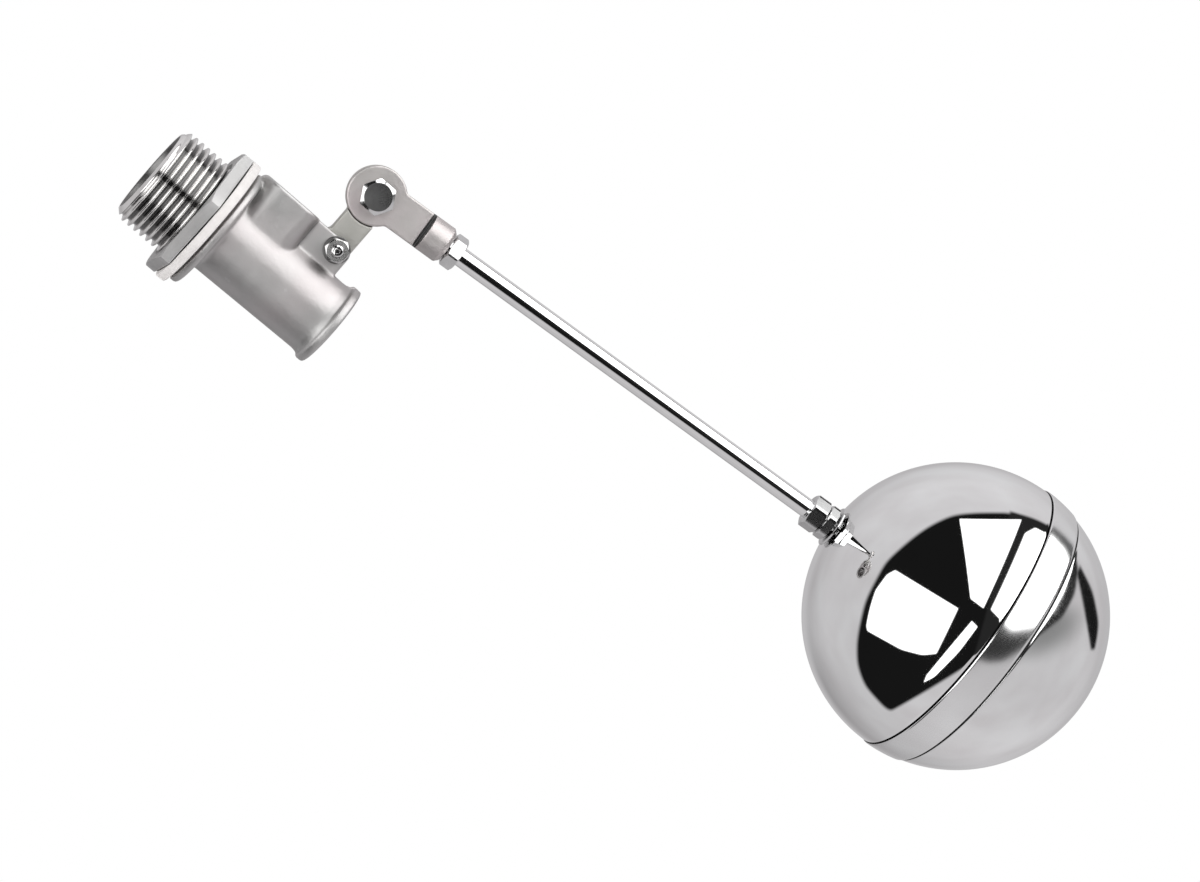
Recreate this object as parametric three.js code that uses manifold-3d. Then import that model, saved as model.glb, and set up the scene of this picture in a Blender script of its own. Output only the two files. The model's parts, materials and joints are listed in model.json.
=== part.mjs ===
// Float valve for a water tank: a threaded stainless valve body with a lever, a long rod
// and a hollow ball float. Frame: origin at the centre of the flange face that seals on the
// tank wall, +X from inlet to outlet, +Z up through the plunger boss. Lengths in millimetres.
import * as THREE from "three";
import { mergeVertices } from "three/addons/utils/BufferGeometryUtils.js";
import Module from "manifold-3d";

const wasm = await Module();
wasm.setup();

// ---------------------------------------------------------------- driving dimensions
const GAP = 0.3; // clearance between neighbouring pieces
const FINE = 32; // facets round a large diameter
const ROUND = 16; // facets round a small diameter

// G1 external parallel pipe thread (ISO 228): Ø33.249 over the crests, 2.309 pitch
const THREAD = { major: 16.62, minor: 15.14, pitch: 2.309, length: 24.5 };
const INLET = { radius: 13.4, end: 1 };
const FLANGE = { radius: 20.4, thickness: 3.3, edge: 1.4 };
const GASKET = { outer: 22.4, from: -3.3, thickness: 3 };
const LOCKNUT = { acrossFlats: 41, from: -7.4, thickness: 3.8, turn: 16, chamfer: 0.9 };

const BARREL = { start: 13.25, end: 12.55, bore: 9.9, length: 46.9 };
const BEAD = { radius: 13.9, length: 5.4 };
const BOSS = { x: 13.9, top: 22.1, from: 3.2, to: 22.4, halfDepth: 10.6, corner: 5, bore: 6.6 };
const WEB = { from: 1.65, halfDepth: 6.2, corner: 2.2 };
const EAR = { outer: 5.1, slot: 2.8, end: 36.9, top: 21.8, floor: 11.2, corner: 3.6 };

// Partition of the globe-type water way: water rises through the seat and leaves along the barrel
const PARTITION = { bottom: -2, top: 0.8, inletEnd: 20.5, outletStart: 22.7, chamberStart: 6.5 };
const SEAT = { stem: 5.7, flange: 6.3, bore: 4.5, lipOuter: 5.6, flangeTop: 1.8, lipTop: 2.3, hole: 6 };

const PIVOT = { x: 32.3, z: 18.4, pin: 1.95, hole: 2.25 };
const PIVOT_NUT = { acrossFlats: 7, thickness: 3.2, turn: 10 };
const PIVOT_HEAD = { acrossFlats: 7, thickness: 2.8, turn: 25 };
const PIVOT_WASHER = { radius: 4.2, thickness: 0.8 };

const LEVER = { thickness: 5, armLeft: -5.2, armRight: 4.3, knuckle: 4.6 };
const TAIL = { reach: 18.4, halfHeight: 2.8, slotRadius: 1.8, slotTravel: 1.1, taper: 8.3 };
const SWING = THREE.MathUtils.degToRad(18); // lever swing from open to closed
const LIFT = TAIL.reach * SWING; // travel of the plunger

const ELBOW = { x: 31.3, z: 38.5, eye: 9.2, hole: 3.25, bolt: 2.95, lap: 0.15 };
const ELBOW_HEAD = { acrossFlats: 10, thickness: 4, turn: 30 };
const ELBOW_NUT = { acrossFlats: 10, thickness: 5, turn: 12 };
const ELBOW_WASHER = { radius: 5.6, thickness: 1.5 };
const ARM_TILT = THREE.MathUtils.degToRad(4.9); // rod above the barrel axis as supplied

const BAR = { width: 11.8, length: 18 };
const SOCKET = { radius: 5.95, end: 26.4, bore: 3.3, boreFrom: 17.2, chamfer: 0.8 };
const ROD = { radius: 3, from: 17.6, to: 182 };
const M6 = { acrossFlats: 10, bore: 3.3, chamfer: 0.5 };
const ROD_NUT = { from: 26.8, thickness: 4.2, turn: -12 };

const BALL = { centre: 221.1, radius: 47.4, wall: 0.6, lipDepth: 9, sleeve: 10.8, proud: 0.4 };
const BALL_NUT = { from: 163.6, thickness: 5.3, turn: 30 };
const HUB_NUT = { from: 169.2, thickness: 3.2, turn: 15 };
const BALL_WASHER = { from: 172.7, thickness: 0.7, radius: 6.7 };
const BUSH = { radius: 4.3, bore: 3.3, from: 172.7, to: 184.5, end: 1.5 };

const PLUNGER = { radius: 6.3, top: 21.8, forkFloor: 15, recess: 5.5, recessDepth: 2 };
const DISC = { radius: 5.2, thickness: 2.3, hole: 1.6 };
const DISC_SCREW = { radius: 1.3, head: 2.6, headHeight: 0.9, length: 4.7, hole: 1.6 };
const PLUNGER_PIN = { radius: 1.5, length: 11.4, hole: 1.8 };

// ---------------------------------------------------------------- materials
const steel = (color, roughness) => new THREE.MeshStandardMaterial({ color, roughness, metalness: 1 });
const rubber = (color) => new THREE.MeshStandardMaterial({ color, roughness: 0.85, metalness: 0 });
const castSteel = steel(0x9d9997, 0.5);
const turnedSteel = steel(0xb4b1ae, 0.3);
const polishedSteel = steel(0xdcdcdc, 0.08);
const whiteRubber = rubber(0xe6e1de);
const darkRubber = rubber(0x2c2c2c);

// ---------------------------------------------------------------- solids
function solid(geometry) {
  const bare = geometry.clone();
  bare.deleteAttribute("normal");
  bare.deleteAttribute("uv");
  const merged = mergeVertices(bare, 1e-4);
  const build = (triVerts) =>
    new wasm.Manifold(
      new wasm.Mesh({ numProp: 3, vertProperties: merged.attributes.position.array, triVerts }),
    );
  const made = build(new Uint32Array(merged.index.array));
  return made.volume() < 0 ? build(new Uint32Array(merged.index.array).reverse()) : made;
}

function mesh(name, shape, material) {
  const { vertProperties, triVerts } = shape.getMesh();
  const indexed = new THREE.BufferGeometry();
  indexed.setAttribute("position", new THREE.BufferAttribute(vertProperties, 3));
  indexed.setIndex(new THREE.BufferAttribute(triVerts, 1));
  const geometry = indexed.toNonIndexed();
  geometry.computeVertexNormals();
  const made = new THREE.Mesh(geometry, material);
  made.name = name;
  return made;
}

const TURN_TO = {
  x: (geometry) => geometry.rotateZ(-Math.PI / 2),
  y: (geometry) => geometry,
  z: (geometry) => geometry.rotateX(Math.PI / 2),
};

// Solid of revolution. The profile lists [radius, height along the axis]; it starts and ends on the axis,
// or it is closed here where it stays clear of the axis.
function turned(axis, profile, facets = FINE) {
  const points = profile.map(([radius, height]) => new THREE.Vector2(radius, height));
  if (profile[0][0] > 0) points.push(points[0].clone());
  return solid(TURN_TO[axis](new THREE.LatheGeometry(points, facets)));
}

const rod = (axis, radius, from, to, facets = ROUND) =>
  turned(axis, [[0, from], [radius, from], [radius, to], [0, to]], facets);

const ring = (axis, inner, outer, from, to, facets = ROUND) =>
  turned(axis, [[inner, from], [outer, from], [outer, to], [inner, to]], facets);

// Plate drawn in the X-Z plane, between two values of Y.
function plate(shape, from, to, curveSegments = 12) {
  const settings = { depth: to - from, bevelEnabled: false, curveSegments };
  const geometry = new THREE.ExtrudeGeometry(shape, settings);
  return solid(geometry.rotateX(Math.PI / 2).translate(0, to, 0));
}

// Column drawn in the X-Y plane, between two values of Z.
function column(shape, from, to, curveSegments = 12) {
  const settings = { depth: to - from, bevelEnabled: false, curveSegments };
  const geometry = new THREE.ExtrudeGeometry(shape, settings);
  return solid(geometry.translate(0, 0, from));
}

function block(x, y, z) {
  const geometry = new THREE.BoxGeometry(x[1] - x[0], y[1] - y[0], z[1] - z[0]);
  return solid(geometry.translate((x[0] + x[1]) / 2, (y[0] + y[1]) / 2, (z[0] + z[1]) / 2));
}

// Hexagon prism with both ends chamfered, turned about its axis by some degrees.
function hexagon(axis, acrossFlats, from, to, chamfer, turn = 0) {
  const corner = acrossFlats / Math.sqrt(3);
  const prism = new THREE.CylinderGeometry(corner, corner, to - from, 6);
  prism.rotateY(THREE.MathUtils.degToRad(turn)).translate(0, (from + to) / 2, 0);
  const inner = corner - 1.7 * chamfer;
  const start = [[0, from], [inner, from], [corner, from + chamfer]];
  const cone = [...start, [corner, to - chamfer], [inner, to], [0, to]];
  return solid(TURN_TO[axis](prism)).intersect(turned(axis, cone, ROUND));
}

const joined = (...shapes) => shapes.reduce((whole, next) => whole.add(next));
const without = (shape, ...cuts) => cuts.reduce((whole, next) => whole.subtract(next), shape);

// ---------------------------------------------------------------- valve body
function threadAndFlange() {
  const profile = [[0, -THREAD.length], [THREAD.minor - 0.6, -THREAD.length]];
  const turns = Math.floor(THREAD.length / THREAD.pitch);
  for (let turn = 0; turn < turns; turn += 1) {
    const x = -THREAD.length + 0.5 + turn * THREAD.pitch;
    profile.push([THREAD.minor, x], [THREAD.major, x + THREAD.pitch / 2]);
  }
  const back = FLANGE.thickness;
  profile.push([THREAD.minor, -0.6], [THREAD.minor, 0], [FLANGE.radius, 0]);
  profile.push([FLANGE.radius, back - FLANGE.edge], [FLANGE.radius - 0.4, back - 0.4]);
  profile.push([FLANGE.radius - FLANGE.edge, back], [0, back]);
  return turned("x", profile);
}

function barrel() {
  const { start, end, length } = BARREL;
  const flare = length - BEAD.length;
  return turned("x", [
    [0, 0.5],
    [start, 0.5],
    [end, flare],
    [end + 0.35, flare + 1.7],
    [BEAD.radius - 0.4, flare + 2.7],
    [BEAD.radius, flare + 3.4],
    [BEAD.radius, length - 0.7],
    [BEAD.radius - 0.5, length],
    [0, length],
  ]);
}

// Plan of the boss: a rectangle with generously rounded corners.
function bossPlan() {
  const { from, to, halfDepth, corner } = BOSS;
  const [left, right] = [from + corner, to - corner];
  const side = halfDepth - corner;
  const quarter = Math.PI / 2;
  const plan = new THREE.Shape();
  plan.absarc(right, side, corner, 0, quarter, false);
  plan.absarc(left, side, corner, quarter, 2 * quarter, false);
  plan.absarc(left, -side, corner, 2 * quarter, 3 * quarter, false);
  plan.absarc(right, -side, corner, 3 * quarter, 4 * quarter, false);
  plan.closePath();
  return plan;
}

function webProfile() {
  const { from, corner } = WEB;
  const profile = new THREE.Shape();
  profile.moveTo(from, 0);
  profile.lineTo(BOSS.x, 0);
  profile.lineTo(BOSS.x, BOSS.top);
  profile.absarc(from + corner, BOSS.top - corner, corner, Math.PI / 2, Math.PI, false);
  profile.closePath();
  return profile;
}

function earProfile() {
  const { end, top, corner } = EAR;
  const profile = new THREE.Shape();
  profile.moveTo(BOSS.x, BARREL.bore);
  profile.lineTo(end, BARREL.bore);
  profile.absarc(end - corner, top - corner, corner, 0, Math.PI / 2, false);
  profile.lineTo(BOSS.x, top);
  profile.closePath();
  return profile;
}

function waterWay() {
  const { bottom, top, inletEnd, outletStart, chamberStart } = PARTITION;
  const wide = BARREL.bore + 1;
  const bore = (from, to) => rod("x", BARREL.bore, from, to, FINE);
  const below = bore(INLET.end - 0.5, inletEnd).intersect(
    block([0, inletEnd], [-wide, wide], [-wide, bottom]),
  );
  const above = bore(chamberStart, outletStart + 0.5).intersect(
    block([chamberStart, outletStart + 0.5], [-wide, wide], [top, wide]),
  );
  return [
    rod("x", INLET.radius, -THREAD.length - 1, INLET.end, FINE),
    below,
    above,
    bore(outletStart, BARREL.length + 1),
    rod("z", SEAT.hole, bottom - 1, top + 1).translate([BOSS.x, 0, 0]),
    rod("z", BOSS.bore, top + 1, BOSS.top + 1, FINE).translate([BOSS.x, 0, 0]),
  ];
}

function valveBody() {
  const outside = joined(
    threadAndFlange(),
    barrel(),
    column(bossPlan(), 0, BOSS.top),
    plate(webProfile(), -WEB.halfDepth, WEB.halfDepth),
    plate(earProfile(), -EAR.outer, EAR.outer),
  );
  const slot = block([BOSS.x, EAR.end + 1], [-EAR.slot, EAR.slot], [EAR.floor, BOSS.top + 1]);
  const pinHole = rod("y", PIVOT.hole, -EAR.outer - 1, EAR.outer + 1).translate([PIVOT.x, 0, PIVOT.z]);
  return without(outside, ...waterWay(), slot, pinHole);
}

function seatNozzle() {
  const { stem, flange, bore, lipOuter, flangeTop, lipTop } = SEAT;
  const { bottom, top } = PARTITION;
  return turned("z", [
    [bore, bottom],
    [stem, bottom],
    [stem, top + GAP],
    [flange, top + GAP],
    [flange, flangeTop],
    [lipOuter, flangeTop],
    [lipOuter - 0.3, lipTop],
    [bore, lipTop],
  ], ROUND).translate([BOSS.x, 0, 0]);
}

const wallGasket = () =>
  ring("x", THREAD.major + GAP, GASKET.outer, GASKET.from, GASKET.from + GASKET.thickness, FINE);

function locknut() {
  const { acrossFlats, from, thickness, turn, chamfer } = LOCKNUT;
  const hex = hexagon("x", acrossFlats, from, from + thickness, chamfer, turn);
  return hex.subtract(rod("x", THREAD.major + GAP, from - 1, from + thickness + 1, FINE));
}

// ---------------------------------------------------------------- pivot of the lever
const PIVOT_FACE = EAR.outer + GAP;
const NUT_FACE = PIVOT_FACE + PIVOT_WASHER.thickness + GAP;

function pivotBolt() {
  const { acrossFlats, thickness, turn } = PIVOT_HEAD;
  const tip = -(NUT_FACE + PIVOT_NUT.thickness + 0.7);
  const head = hexagon("y", acrossFlats, NUT_FACE, NUT_FACE + thickness, 0.4, turn);
  return head.add(rod("y", PIVOT.pin, tip, NUT_FACE + 0.5));
}

const pivotWasher = (from) =>
  ring("y", PIVOT.hole, PIVOT_WASHER.radius, from, from + PIVOT_WASHER.thickness);

function pivotNut() {
  const { acrossFlats, thickness, turn } = PIVOT_NUT;
  const hex = hexagon("y", acrossFlats, -NUT_FACE - thickness, -NUT_FACE, 0.4, turn);
  return hex.subtract(rod("y", PIVOT.hole, -NUT_FACE - thickness - 1, 0));
}

// ---------------------------------------------------------------- lever, drawn about the pivot
const ELBOW_AT = { x: ELBOW.x - PIVOT.x, z: ELBOW.z - PIVOT.z };

function tailProfile() {
  const { reach, halfHeight, slotRadius, slotTravel, taper } = TAIL;
  const tip = -(reach + slotTravel / 2 - 0.2);
  const profile = new THREE.Shape();
  profile.moveTo(0, LEVER.knuckle);
  profile.lineTo(-taper + 4, LEVER.knuckle);
  profile.lineTo(-taper, halfHeight);
  profile.absarc(tip, 0, halfHeight, Math.PI / 2, 1.5 * Math.PI, false);
  profile.lineTo(-taper, -halfHeight);
  profile.lineTo(-taper + 4, -LEVER.knuckle + 0.6);
  profile.lineTo(0, -LEVER.knuckle);
  profile.closePath();
  const slot = new THREE.Path();
  slot.absarc(tip - slotTravel / 2, 0, slotRadius, Math.PI / 2, 1.5 * Math.PI, false);
  slot.absarc(tip + slotTravel / 2, 0, slotRadius, -Math.PI / 2, Math.PI / 2, false);
  slot.closePath();
  profile.holes.push(slot);
  return profile;
}

// One half of the lap joint at the elbow: all of the eye's circle is cleared, then a half disc is put back.
function lapped(arm, at, from, to) {
  const half = LEVER.thickness / 2;
  const clearing = rod("y", ELBOW.eye + GAP, -half - 1, half + 1, FINE).translate([at.x, 0, at.z]);
  const disc = rod("y", ELBOW.eye, from, to, FINE).translate([at.x, 0, at.z]);
  const bridge = arm.intersect(rod("y", ELBOW.eye + 2, from, to, FINE).translate([at.x, 0, at.z]));
  const hole = rod("y", ELBOW.hole, -half - 1, half + 1).translate([at.x, 0, at.z]);
  return without(joined(arm.subtract(clearing), bridge, disc), hole);
}

function crankLever() {
  const half = LEVER.thickness / 2;
  const arm = joined(
    block([LEVER.armLeft, LEVER.armRight], [-half, half], [0, ELBOW_AT.z]),
    rod("y", LEVER.knuckle, -half, half),
    plate(tailProfile(), -half, half),
  );
  return lapped(arm, ELBOW_AT, ELBOW.lap, half).subtract(rod("y", PIVOT.hole, -half - 1, half + 1));
}

// ---------------------------------------------------------------- elbow bolt, drawn about the elbow
const ELBOW_FACE = LEVER.thickness / 2 + GAP;
const ELBOW_NUT_FACE = ELBOW_FACE + ELBOW_WASHER.thickness + GAP;

function elbowBolt() {
  const { acrossFlats, thickness, turn } = ELBOW_HEAD;
  const head = hexagon("y", acrossFlats, -ELBOW_FACE - thickness, -ELBOW_FACE, 0.7, turn);
  return head.add(rod("y", ELBOW.bolt, -ELBOW_FACE - 0.5, ELBOW_NUT_FACE + 6.2));
}

const elbowWasher = () =>
  ring("y", ELBOW.hole, ELBOW_WASHER.radius, ELBOW_FACE, ELBOW_FACE + ELBOW_WASHER.thickness);

function elbowNut() {
  const { acrossFlats, thickness, turn } = ELBOW_NUT;
  const hex = hexagon("y", acrossFlats, ELBOW_NUT_FACE, ELBOW_NUT_FACE + thickness, M6.chamfer, turn);
  return hex.subtract(rod("y", M6.bore, 0, ELBOW_NUT_FACE + thickness + 1));
}

// ---------------------------------------------------------------- float arm, drawn along X from the elbow
function socketArm() {
  const half = LEVER.thickness / 2;
  const { radius, end, bore, boreFrom, chamfer } = SOCKET;
  const bar = block([0, BAR.length + 1], [-half, half], [-BAR.width / 2, BAR.width / 2]);
  const socket = turned("x", [
    [0, BAR.length],
    [radius, BAR.length],
    [radius, end - chamfer],
    [radius - chamfer, end],
    [0, end],
  ], ROUND);
  const arm = joined(bar, socket).subtract(rod("x", bore, boreFrom, end + 1));
  return lapped(arm, { x: 0, z: 0 }, -half, -ELBOW.lap);
}

function m6Nut({ from, thickness, turn }) {
  const hex = hexagon("x", M6.acrossFlats, from, from + thickness, M6.chamfer, turn);
  return hex.subtract(rod("x", M6.bore, from - 1, from + thickness + 1));
}

const floatRod = () =>
  turned("x", [
    [0, ROD.from],
    [ROD.radius - 0.5, ROD.from],
    [ROD.radius, ROD.from + 0.5],
    [ROD.radius, ROD.to - 0.5],
    [ROD.radius - 0.5, ROD.to],
    [0, ROD.to],
  ], ROUND);

function ballWasher() {
  const { radius, from, thickness } = BALL_WASHER;
  return ring("x", BUSH.radius + GAP, radius, from, from + thickness);
}

// Blind threaded bush welded through the pole of the ball.
function ballBush() {
  const { radius, bore, from, to, end } = BUSH;
  const hole = [[0, to - end], [bore, to - end], [bore, from]];
  return turned("x", [...hole, [radius, from], [radius, to], [0, to]], ROUND);
}

// Points on a meridian of the ball between two distances along the axis from its centre.
function meridian(radius, from, to, steps) {
  const start = Math.asin(from / radius);
  const sweep = Math.asin(to / radius) - start;
  return Array.from({ length: steps + 1 }, (_, step) => {
    const angle = start + (sweep * step) / steps;
    return [radius * Math.cos(angle), BALL.centre + radius * Math.sin(angle)];
  });
}

// Near half: a hemisphere with a hole at the pole for the bush and a stepped-in lip past the equator.
function ballNearShell() {
  const { radius, wall, lipDepth } = BALL;
  const poleHole = BUSH.radius + GAP;
  const outerPole = -Math.sqrt(radius ** 2 - poleHole ** 2);
  const inner = radius - wall;
  const innerPole = -Math.sqrt(inner ** 2 - poleHole ** 2);
  const lip = radius - wall - 0.1;
  return turned("x", [
    ...meridian(radius, outerPole, -0.05, 7),
    ...meridian(lip, 0.4, lipDepth, 1),
    ...meridian(lip - wall, lipDepth, 0, 1),
    ...meridian(inner, -0.8, innerPole, 7),
  ]);
}

// Far half: a cap whose rim is spread into a sleeve over the lip of the near half.
function ballFarShell() {
  const { radius, wall, sleeve, proud } = BALL;
  const outerSleeve = radius + proud;
  const innerSleeve = radius - 0.3;
  return turned("x", [
    [0, BALL.centre + radius - wall],
    ...meridian(radius - wall, radius - wall, sleeve + 0.4, 6).slice(1),
    ...meridian(innerSleeve, sleeve - 0.8, 0.2, 3),
    ...meridian(outerSleeve, 0.2, sleeve - 0.6, 3),
    ...meridian(radius, sleeve + 0.6, radius, 6).slice(0, -1),
    [0, BALL.centre + radius],
  ]);
}

// ---------------------------------------------------------------- plunger, drawn open
const SEAL_BOTTOM = SEAT.lipTop + GAP + LIFT;
const PLUNGER_BOTTOM = SEAL_BOTTOM + GAP + DISC.thickness - PLUNGER.recessDepth;

function plunger() {
  const { radius, top, forkFloor, recess, recessDepth } = PLUNGER;
  const bar = rod("z", radius, PLUNGER_BOTTOM, top, FINE);
  const fork = block([-radius - 1, radius + 1], [-EAR.slot, EAR.slot], [forkFloor, top + 1]);
  const cup = rod("z", recess, PLUNGER_BOTTOM - 1, PLUNGER_BOTTOM + recessDepth);
  const screwHole = rod("z", DISC_SCREW.hole, PLUNGER_BOTTOM, SEAL_BOTTOM + DISC_SCREW.length + GAP);
  const pinHole = rod("y", PLUNGER_PIN.hole, -radius - 1, radius + 1).translate([0, 0, PIVOT.z]);
  return without(bar, fork, cup, screwHole, pinHole);
}

const plungerPin = () =>
  rod("y", PLUNGER_PIN.radius, -PLUNGER_PIN.length / 2, PLUNGER_PIN.length / 2).translate([0, 0, PIVOT.z]);

const sealDisc = () => ring("z", DISC.hole, DISC.radius, SEAL_BOTTOM, SEAL_BOTTOM + DISC.thickness);

function sealScrew() {
  const { radius, head, headHeight, length } = DISC_SCREW;
  const under = SEAL_BOTTOM - GAP;
  return turned("z", [
    [0, under - headHeight],
    [head - 0.4, under - headHeight],
    [head, under - headHeight + 0.4],
    [head, under],
    [radius, under],
    [radius, SEAL_BOTTOM + length],
    [0, SEAL_BOTTOM + length],
  ], ROUND);
}

// ---------------------------------------------------------------- assembly
function group(x, z, meshes) {
  const made = new THREE.Group();
  made.position.set(x, 0, z);
  made.add(...meshes);
  return made;
}

const fixedPieces = group(0, 0, [
  mesh("valve_body", valveBody(), castSteel),
  mesh("seat_nozzle", seatNozzle(), turnedSteel),
  mesh("wall_gasket", wallGasket(), whiteRubber),
  mesh("wall_locknut", locknut(), castSteel),
]);

const pivotPieces = group(PIVOT.x, PIVOT.z, [
  mesh("pivot_bolt", pivotBolt(), turnedSteel),
  mesh("pivot_washer_front", pivotWasher(-PIVOT_FACE - PIVOT_WASHER.thickness), turnedSteel),
  mesh("pivot_washer_back", pivotWasher(PIVOT_FACE), turnedSteel),
  mesh("pivot_nut", pivotNut(), turnedSteel),
  mesh("crank_lever", crankLever(), castSteel),
]);

const plungerPieces = group(BOSS.x, 0, [
  mesh("plunger", plunger(), turnedSteel),
  mesh("plunger_pin", plungerPin(), turnedSteel),
  mesh("seal_disc", sealDisc(), darkRubber),
  mesh("seal_screw", sealScrew(), turnedSteel),
]);

const elbowPieces = group(ELBOW.x, ELBOW.z, [
  mesh("elbow_bolt", elbowBolt(), turnedSteel),
  mesh("elbow_washer", elbowWasher(), turnedSteel),
  mesh("elbow_nut", elbowNut(), turnedSteel),
]);

const armPieces = group(ELBOW.x, ELBOW.z, [
  mesh("socket_arm", socketArm(), castSteel),
  mesh("rod_locknut", m6Nut(ROD_NUT), turnedSteel),
  mesh("float_rod", floatRod(), polishedSteel),
  mesh("ball_locknut", m6Nut(BALL_NUT), turnedSteel),
  mesh("ball_hub_nut", m6Nut(HUB_NUT), turnedSteel),
  mesh("ball_washer", ballWasher(), turnedSteel),
  mesh("ball_bush", ballBush(), turnedSteel),
  mesh("ball_near_shell", ballNearShell(), polishedSteel),
  mesh("ball_far_shell", ballFarShell(), polishedSteel),
]);
armPieces.rotation.y = -ARM_TILT;

const floatValve = new THREE.Group();
floatValve.add(fixedPieces, pivotPieces, plungerPieces, elbowPieces, armPieces);

export default floatValve;
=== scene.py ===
"""Looks of the float valve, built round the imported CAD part.

Lengths below are millimetres unless a name says otherwise. Castings are signed distance fields turned into
fine meshes, turned parts are lathed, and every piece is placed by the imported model's own nodes and joints."""

import json
import math

import bmesh
import bpy
import numpy as np
import openvdb
from mathutils import Matrix, Vector


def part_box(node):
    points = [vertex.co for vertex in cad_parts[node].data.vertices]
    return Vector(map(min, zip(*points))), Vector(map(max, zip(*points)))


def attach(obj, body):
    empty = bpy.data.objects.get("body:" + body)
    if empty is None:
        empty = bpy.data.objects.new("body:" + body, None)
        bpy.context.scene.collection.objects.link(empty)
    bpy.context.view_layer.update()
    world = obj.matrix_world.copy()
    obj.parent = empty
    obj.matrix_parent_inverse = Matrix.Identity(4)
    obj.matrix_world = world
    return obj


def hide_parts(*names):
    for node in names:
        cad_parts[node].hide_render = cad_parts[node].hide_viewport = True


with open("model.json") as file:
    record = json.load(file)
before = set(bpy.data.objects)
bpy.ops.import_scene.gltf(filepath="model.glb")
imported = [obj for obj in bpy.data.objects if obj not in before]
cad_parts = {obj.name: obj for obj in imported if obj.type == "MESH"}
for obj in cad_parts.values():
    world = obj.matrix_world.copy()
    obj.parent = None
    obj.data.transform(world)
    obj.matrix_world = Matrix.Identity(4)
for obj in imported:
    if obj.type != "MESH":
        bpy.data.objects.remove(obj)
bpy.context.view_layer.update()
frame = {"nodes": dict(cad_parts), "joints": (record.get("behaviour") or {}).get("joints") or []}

MM = 0.001
NODES = frame["nodes"]
JOINTS = {joint["name"]: joint for joint in frame["joints"]}


# ------------------------------------------------------------------ places measured from the frame
def placed(origin, along, up):
    """Matrix whose local X runs along one direction and whose local Z is nearest to up."""
    x = Vector(along).normalized()
    z = (Vector(up) - Vector(up).project(x)).normalized()
    y = z.cross(x)
    made = Matrix((x, y, z)).transposed().to_4x4()
    made.translation = Vector(origin)
    return made


def raw_points(node):
    """The vertices of a node, in metres."""
    co = np.empty(len(NODES[node].data.vertices) * 3, np.float32)
    NODES[node].data.vertices.foreach_get("co", co)
    return co.reshape(-1, 3).astype(float)


def points_in(node, place):
    """The vertices of a node, in millimetres of a place."""
    inverse = np.array(place.inverted())
    return (raw_points(node) @ inverse[:3, :3].T + inverse[:3, 3]) / MM


class Turned:
    """What a node measures about the local X axis of a place."""

    CORNER_SHARE = 0.995  # vertices this near the reach are the corners of a hexagon

    def __init__(self, node, place):
        co = points_in(node, place)
        radii = np.hypot(co[:, 1], co[:, 2])
        self.lo, self.hi = co[:, 0].min(), co[:, 0].max()
        self.reach, self.bore = radii.max(), radii.min()
        self.flats = self.reach * math.sqrt(3)
        corners = co[radii > self.CORNER_SHARE * self.reach]
        phase = np.exp(6j * np.arctan2(corners[:, 2], corners[:, 1])).mean()
        self.turn = np.angle(phase) / 6


pivot = Vector(JOINTS["float_swing"]["pos_m"])
elbow = Vector(JOINTS["elbow_adjust"]["pos_m"])
rod_points = raw_points("float_rod")
rod_axis = Vector(np.linalg.svd(rod_points - rod_points.mean(0))[2][0])
rod_axis = rod_axis if rod_axis.x > 0 else -rod_axis
boss_x = (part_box("seal_disc")[0].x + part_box("seal_disc")[1].x) / 2

VALVE = Matrix.Identity(4)
PIVOT = placed(pivot, (0, 1, 0), (0, 0, 1))
ELBOW = placed(elbow, (0, 1, 0), (0, 0, 1))
BOSS = placed((boss_x, 0, 0), (0, 0, 1), (0, -1, 0))
UPRIGHT = Matrix.Translation((boss_x, 0, 0))
CROSS = placed((boss_x, 0, pivot.z), (0, 1, 0), (0, 0, 1))
ARM = placed(elbow, rod_axis, (0, 0, 1))
LEVER = Matrix.Translation(pivot)

# ------------------------------------------------------------------ mesh making
MERGE_M, SLIVER_M = 2e-7, 1e-7  # vertices and edges shorter than these are closed up


def piece(name, body, nodes, place, shells, materials, sharp=30.0, pick=None):
    """One object from (vertices, faces) shells in millimetres of its place; it stands for CAD nodes."""
    verts, faces, start = [], [], 0
    for shell_verts, shell_faces in shells:
        verts.append(np.asarray(shell_verts, float))
        faces += [tuple(int(i) + start for i in face) for face in shell_faces]
        start += len(shell_verts)
    mesh = bpy.data.meshes.new(name)
    mesh.from_pydata((np.vstack(verts) * MM).tolist(), [], faces)
    work = bmesh.new()
    work.from_mesh(mesh)
    bmesh.ops.remove_doubles(work, verts=work.verts, dist=MERGE_M)
    bmesh.ops.dissolve_degenerate(work, edges=work.edges, dist=SLIVER_M)
    work.to_mesh(mesh)
    work.free()
    for material in materials:
        mesh.materials.append(material)
    if pick:
        for polygon in mesh.polygons:
            polygon.material_index = pick(polygon.center / MM)
    mesh.polygons.foreach_set("use_smooth", [True] * len(mesh.polygons))
    if sharp:
        mesh.set_sharp_from_angle(angle=math.radians(sharp))
    obj = bpy.data.objects.new(name, mesh)
    bpy.context.scene.collection.objects.link(obj)
    obj.matrix_world = place
    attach(obj, body)
    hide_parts(*nodes)
    return obj


def skin(x, radius, theta, closed=True):
    """Shell from columns of (x, radius) rows at each angle; rows join into a loop, and columns if closed."""
    x, radius = np.broadcast_arrays(x, radius)
    count, rows = x.shape
    cos, sin = np.cos(theta)[:, None], np.sin(theta)[:, None]
    verts = np.stack([x, radius * cos, radius * sin], -1).reshape(-1, 3)
    steps = count if closed else count - 1
    column, row = np.meshgrid(np.arange(steps), np.arange(rows), indexing="ij")
    after, below = (column + 1) % count, (row + 1) % rows
    corners = ((column, row), (column, below), (after, below), (after, row))
    quads = np.stack([along * rows + down for along, down in corners], -1)
    return outward(verts, quads.reshape(-1, 4))


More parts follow.
